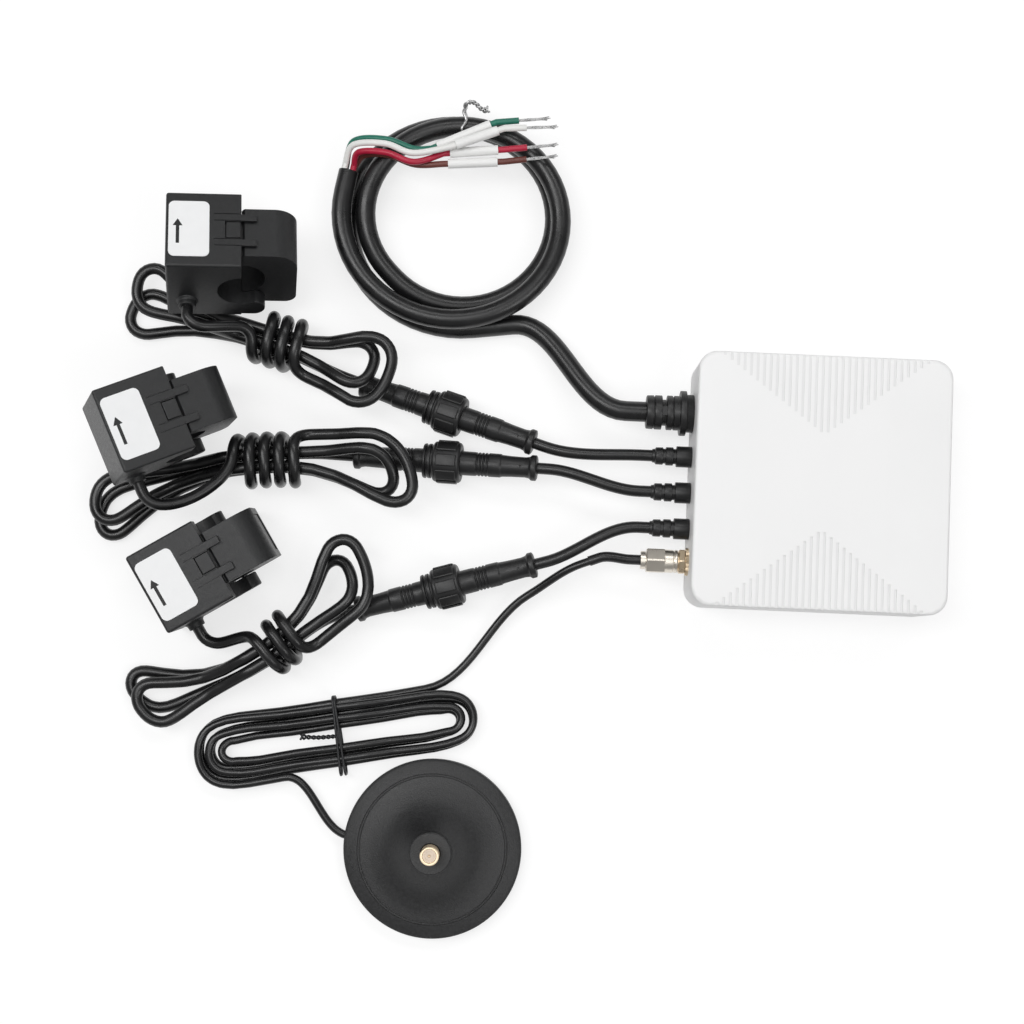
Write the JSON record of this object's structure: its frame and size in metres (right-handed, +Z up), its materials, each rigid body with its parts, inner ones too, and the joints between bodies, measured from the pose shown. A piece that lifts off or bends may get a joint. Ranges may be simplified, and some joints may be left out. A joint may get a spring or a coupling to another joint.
{
  "type": "smart energy monitor",
  "caption": "Energy monitor box with a grooved lid, hinged split-core current clamps on tied leads, a coiled mains lead and a magnetic antenna base on a tied coax.",
  "frame": {"origin": "centre of the box's underside", "axes": "+Z up, +Y along the wall of ports towards the mains lead, ports on the -X wall"},
  "size_m": [0.2944, 0.2957, 0.0493],
  "materials": {
    "white_plastic": "satin",
    "black_plastic": "satin",
    "grey_plastic": "grained",
    "cord": "matte",
    "rubber": "matte",
    "nickel": "bright",
    "steel": "plain",
    "core": "ground",
    "copper": "enamelled",
    "board": "glass fibre",
    "module": "moulded",
    "label": "paper",
    "wire": "coloured cores",
    "sleeve": "plain",
    "tie": "plain",
    "magnet": "plated"
  },
  "bodies": {
    "monitor": {"enclosure_base": "white_plastic", "enclosure_lid": "white_plastic", "lid_seal": "rubber", "lid_screws": "steel", "main_board": "board", "power_module": "module", "radio_module": "module", "board_parts": "module", "lead_headers": "sleeve", "inner_wires": "wire", "mains_gland": "black_plastic", "clamp_glands": "black_plastic", "sma_jack": "nickel", "sma_jack_nut": "nickel", "sma_plug": "nickel", "coax_sleeve": "cord", "clamp1_body": "black_plastic", "clamp2_body": "black_plastic", "clamp3_body": "black_plastic", "fixed_cores": "core", "windings": "copper", "hinge_pins": "steel", "clamp_labels": "label", "clamp1_plug": "black_plastic", "clamp2_plug": "black_plastic", "clamp3_plug": "black_plastic", "clamp1_socket": "black_plastic", "clamp2_socket": "black_plastic", "clamp3_socket": "black_plastic", "clamp1_pigtail": "cord", "clamp2_pigtail": "cord", "clamp3_pigtail": "cord", "clamp1_lead": "cord", "clamp2_lead": "cord", "clamp3_lead": "cord", "antenna_base": "grey_plastic", "antenna_magnet": "magnet", "antenna_foot": "rubber", "antenna_stud": "nickel", "coax_ends": "cord", "coax_hank": "cord", "hank_tie": "tie", "mains_lead": "cord", "mains_coil": "cord", "mains_wires": "wire", "wire_sleeves": "sleeve", "coil_tie": "tie"},
    "jaw1": {"clamp1_jaw": "black_plastic", "clamp1_jaw_core": "core"},
    "latch1": {"clamp1_latch": "black_plastic"},
    "nut1": {"clamp1_nut": "black_plastic"},
    "jaw2": {"clamp2_jaw": "black_plastic", "clamp2_jaw_core": "core"},
    "latch2": {"clamp2_latch": "black_plastic"},
    "nut2": {"clamp2_nut": "black_plastic"},
    "jaw3": {"clamp3_jaw": "black_plastic", "clamp3_jaw_core": "core"},
    "latch3": {"clamp3_latch": "black_plastic"},
    "nut3": {"clamp3_nut": "black_plastic"},
    "plug_nut": {"sma_plug_nut": "nickel"}
  },
  "joints": [
    {"name": "clamp1_hinge", "type": "hinge", "parent": "monitor", "child": "jaw1", "pos_m": [-0.19669, 0.06563, 0.01357], "axis": [-0.0987, 0.9297, -0.3549], "range_deg": [0, 60]},
    {"name": "clamp1_latch_press", "type": "slide", "parent": "monitor", "child": "latch1", "axis": [-0.111, -0.3647, -0.9245], "range_m": [0, 0.0006], "stiffness_N_per_m": 600},
    {"name": "clamp1_nut_turn", "type": "hinge", "parent": "monitor", "child": "nut1", "pos_m": [-0.1275, 0.0202, 0.008], "axis": [0.9495, -0.2957, 0.1045], "continuous": true},
    {"name": "clamp2_hinge", "type": "hinge", "parent": "monitor", "child": "jaw2", "pos_m": [-0.21924, 0.01443, 0.01491], "axis": [-0.4179, 0.9061, 0.0663], "range_deg": [0, 60]},
    {"name": "clamp2_latch_press", "type": "slide", "parent": "monitor", "child": "latch2", "axis": [-0.3076, -0.0724, -0.9487], "range_m": [0, 0.0006], "stiffness_N_per_m": 600},
    {"name": "clamp2_nut_turn", "type": "hinge", "parent": "monitor", "child": "nut2", "pos_m": [-0.1275, 0.0032, 0.008], "axis": [0.9939, -0.0347, 0.1045], "continuous": true},
    {"name": "clamp3_hinge", "type": "hinge", "parent": "monitor", "child": "jaw3", "pos_m": [-0.20002, -0.03118, 0.00629], "axis": [-0.5286, 0.846, 0.0698], "range_deg": [0, 60]},
    {"name": "clamp3_latch_press", "type": "slide", "parent": "monitor", "child": "latch3", "axis": [-0.037, 0.0592, -0.9976], "range_m": [0, 0.0006], "stiffness_N_per_m": 600},
    {"name": "clamp3_nut_turn", "type": "hinge", "parent": "monitor", "child": "nut3", "pos_m": [-0.1255, -0.04, 0.008], "axis": [0.9541, 0.2808, 0.1045], "continuous": true},
    {"name": "sma_nut_turn", "type": "hinge", "parent": "monitor", "child": "plug_nut", "pos_m": [-0.052, -0.028, 0.013], "axis": [-1, 0, 0], "continuous": true}
  ]
}
